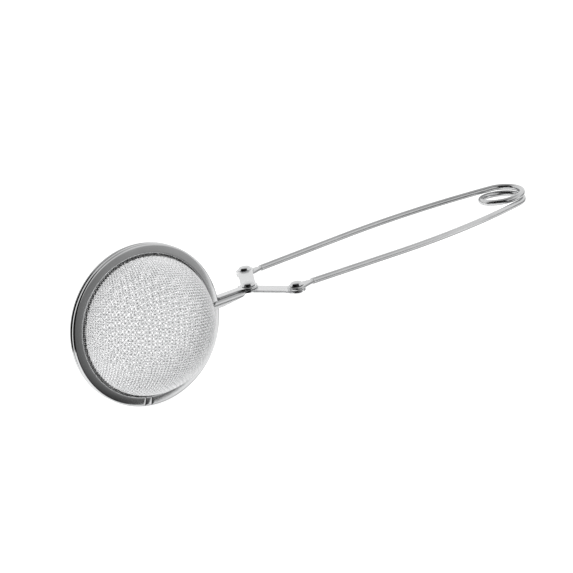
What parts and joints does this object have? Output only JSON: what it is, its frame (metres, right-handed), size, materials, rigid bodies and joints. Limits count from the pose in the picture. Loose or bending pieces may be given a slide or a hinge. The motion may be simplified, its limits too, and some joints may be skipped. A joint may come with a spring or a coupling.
{
  "type": "tea strainer",
  "caption": "Spring-handled tea strainer: woven half balls in rolled rims on riveted bell-crank arms, opened by squeezing a bent wire handle.",
  "frame": {"origin": "middle of the whole object, on the closing plane of the half balls and in the plane where the two arms meet", "axes": "+X along the handle towards its coil, +Y the axis of the ball towards the far half, +Z along the rivets towards their domed heads"},
  "size_m": [0.171, 0.0408, 0.05],
  "materials": {
    "rim_steel": "mirror-polished stainless steel",
    "wire_cloth": "bright woven stainless wire",
    "arm_steel": "satin stamped stainless sheet",
    "spring_wire": "bright drawn stainless wire",
    "rivet_steel": "polished"
  },
  "bodies": {
    "coil": {"coil": "spring_wire"},
    "near_leg": {"near_leg": "spring_wire"},
    "far_leg": {"far_leg": "spring_wire"},
    "near_half": {"near_arm": "arm_steel", "near_rim": "rim_steel", "near_mesh": "wire_cloth", "near_rivet": "rivet_steel", "central_rivet": "rivet_steel"},
    "far_half": {"far_arm": "arm_steel", "far_rim": "rim_steel", "far_mesh": "wire_cloth", "far_rivet": "rivet_steel"}
  },
  "joints": [
    {"name": "near_squeeze", "type": "hinge", "parent": "coil", "child": "near_leg", "pos_m": [0.0775, 0, 0], "axis": [0, 0, -1], "range_deg": [0, 3.74], "stiffness_Nm_per_rad": 4, "springref_deg": -2.86, "deforming": ["coil"]},
    {"name": "far_squeeze", "type": "hinge", "parent": "coil", "child": "far_leg", "pos_m": [0.0775, 0, 0], "axis": [0, 0, 1], "range_deg": [0, 3.74], "stiffness_Nm_per_rad": 4, "springref_deg": -2.86},
    {"name": "near_turn", "type": "hinge", "parent": "near_leg", "child": "near_half", "pos_m": [-0.0154, -0.0152, 0], "axis": [0, 0, 1], "range_deg": [0, 33.82]},
    {"name": "far_turn", "type": "hinge", "parent": "far_leg", "child": "far_half", "pos_m": [-0.0154, 0.0152, 0], "axis": [0, 0, -1], "range_deg": [0, 33.82]}
  ],
  "couplings": [
    {"joint": "far_squeeze", "follows": "near_squeeze", "ratio": 1},
    {"joint": "near_turn", "follows": "near_squeeze", "ratio": 9.0289},
    {"joint": "far_turn", "follows": "near_squeeze", "ratio": 9.0289}
  ]
}
